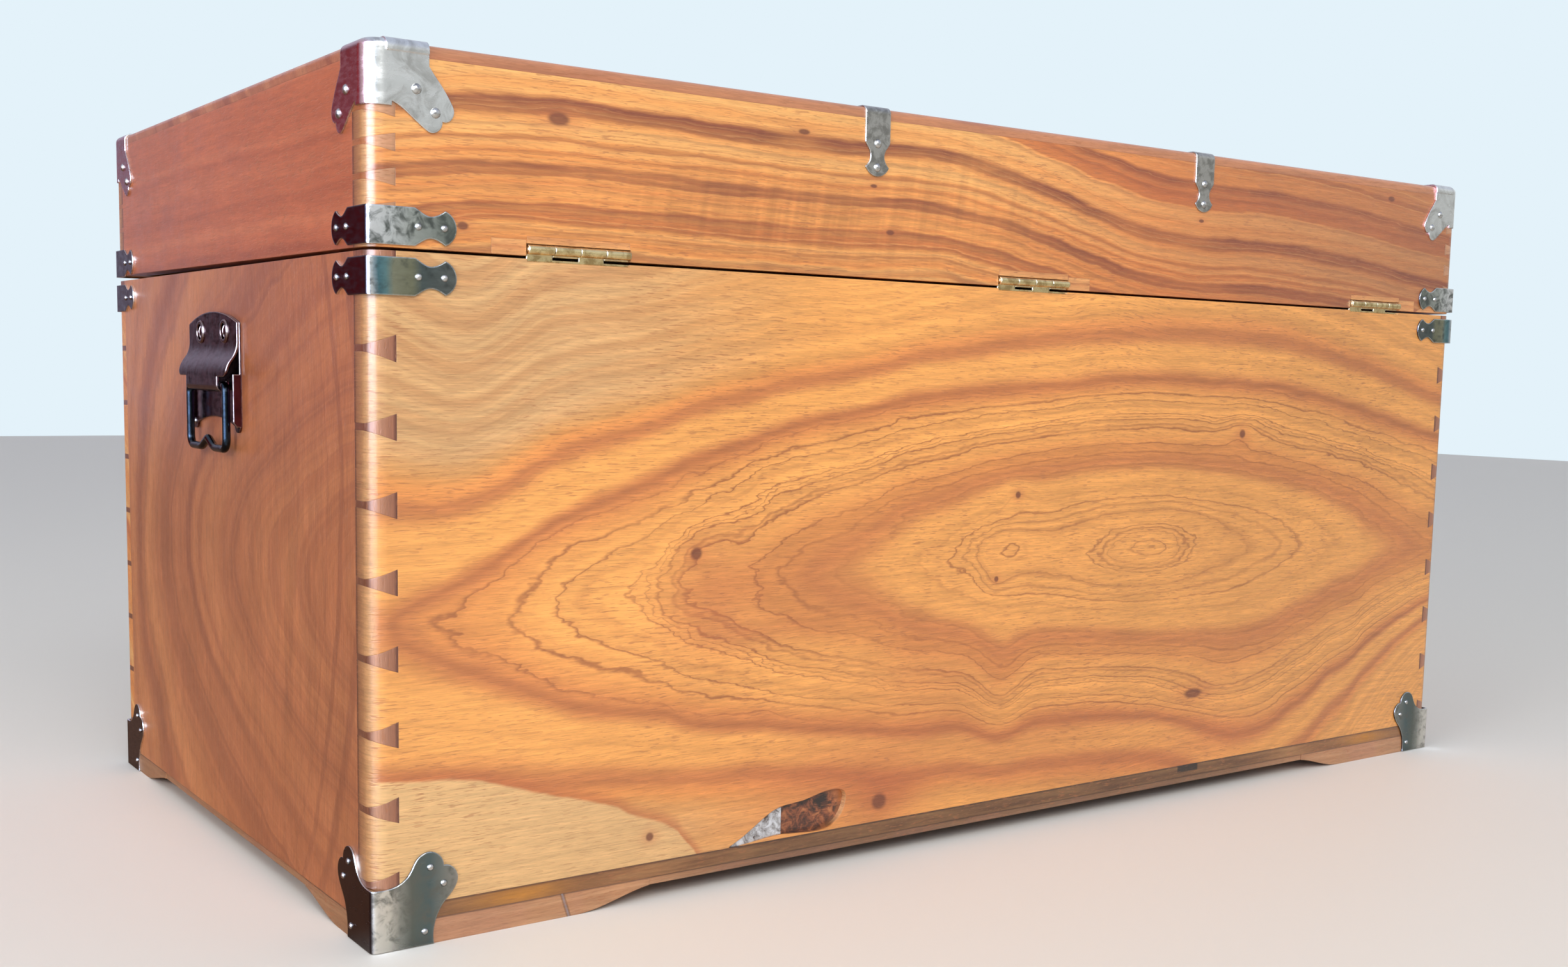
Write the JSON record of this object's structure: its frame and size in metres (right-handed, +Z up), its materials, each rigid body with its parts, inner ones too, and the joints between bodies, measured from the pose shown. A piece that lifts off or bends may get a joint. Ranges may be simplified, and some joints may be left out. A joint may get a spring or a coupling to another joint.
{
  "type": "camphor wood trunk",
  "caption": "Dovetailed camphor wood trunk with a hinged lid, steel corner straps, foot brackets and caps, a box lock and a drop handle with a bail on each end.",
  "frame": {"origin": "on the floor, under the middle of the closed trunk", "axes": "+X along the trunk, to the right of a person who faces its front, +Y to the back with the hinges, +Z up"},
  "size_m": [0.9706, 0.5072, 0.4776],
  "materials": {
    "body_wood": "polished camphor wood with a broad figure, worn",
    "plinth_wood": "polished wood, worn at the edges",
    "lid_wood": "polished camphor wood with dark stripes",
    "lid_top_wood": "polished camphor wood",
    "repair_wood": "pale let-in wood",
    "filler": "grey stopping, rubbed down",
    "strap_metal": "dark polished steel, bright at worn edges",
    "cap_metal": "dull grey metal with patina",
    "nail_metal": "worn round steel heads",
    "hinge_brass": "aged brass",
    "handle_metal": "dark reflective metal with patina",
    "bail_steel": "blue-black steel",
    "lock_brass": "aged brass",
    "escutcheon_metal": "dark metal"
  },
  "bodies": {
    "body": {"back_board": "body_wood", "front_board": "body_wood", "right_end_board": "body_wood", "left_end_board": "body_wood", "bottom_board": "body_wood", "foot_back_right": "plinth_wood", "foot_back_left": "plinth_wood", "foot_front_right": "plinth_wood", "foot_front_left": "plinth_wood", "base_strips": "plinth_wood", "body_strap_back_right": "strap_metal", "body_strap_back_left": "strap_metal", "body_strap_front_right": "strap_metal", "body_strap_front_left": "strap_metal", "bottom_bracket_back_right": "strap_metal", "bottom_bracket_back_left": "strap_metal", "bottom_bracket_front_right": "strap_metal", "bottom_bracket_front_left": "strap_metal", "body_nails": "nail_metal", "body_screws": "hinge_brass", "handle_screws": "handle_metal", "hinge_body_leaf_1": "hinge_brass", "hinge_body_leaf_2": "hinge_brass", "hinge_body_leaf_3": "hinge_brass", "knot_filler": "filler", "hinge_pins": "hinge_brass", "right_handle_backplate": "handle_metal", "left_handle_backplate": "handle_metal", "right_handle_hood": "handle_metal", "left_handle_hood": "handle_metal", "lock_case": "lock_brass", "escutcheon": "escutcheon_metal", "escutcheon_pins": "escutcheon_metal"},
    "lid": {"lid_back_rail": "lid_wood", "lid_front_rail": "lid_wood", "lid_right_rail": "lid_wood", "lid_left_rail": "lid_wood", "lid_top_board": "lid_top_wood", "letin_pieces": "repair_wood", "lid_strap_back_right": "strap_metal", "lid_strap_back_left": "strap_metal", "lid_strap_front_right": "strap_metal", "lid_strap_front_left": "strap_metal", "lid_cap_back_right": "cap_metal", "lid_cap_back_left": "cap_metal", "lid_cap_front_right": "cap_metal", "lid_cap_front_left": "cap_metal", "lid_edge_strap_back_right": "cap_metal", "lid_edge_strap_back_left": "cap_metal", "lid_edge_strap_front_right": "cap_metal", "lid_edge_strap_front_left": "cap_metal", "lid_nails": "nail_metal", "lid_screws": "hinge_brass", "hinge_lid_leaf_1": "hinge_brass", "hinge_lid_leaf_2": "hinge_brass", "hinge_lid_leaf_3": "hinge_brass", "lock_link": "lock_brass"},
    "right_bail": {"right_bail": "bail_steel"},
    "left_bail": {"left_bail": "bail_steel"},
    "lock_bolt": {"lock_bolt": "lock_brass"}
  },
  "joints": [
    {"name": "lid_hinge", "type": "hinge", "parent": "body", "child": "lid", "pos_m": [0, 0.251, 0.375], "axis": [-1, 0, 0], "range_deg": [0, 95]},
    {"name": "right_bail_swing", "type": "hinge", "parent": "body", "child": "right_bail", "pos_m": [0.4813, -0.006, 0.297], "axis": [0, -1, 0], "range_deg": [-4, 110]},
    {"name": "left_bail_swing", "type": "hinge", "parent": "body", "child": "left_bail", "pos_m": [-0.4813, -0.006, 0.297], "axis": [0, 1, 0], "range_deg": [-4, 110]},
    {"name": "lock_bolt_slide", "type": "slide", "parent": "body", "child": "lock_bolt", "axis": [1, 0, 0], "range_m": [0, 0.01]}
  ]
}
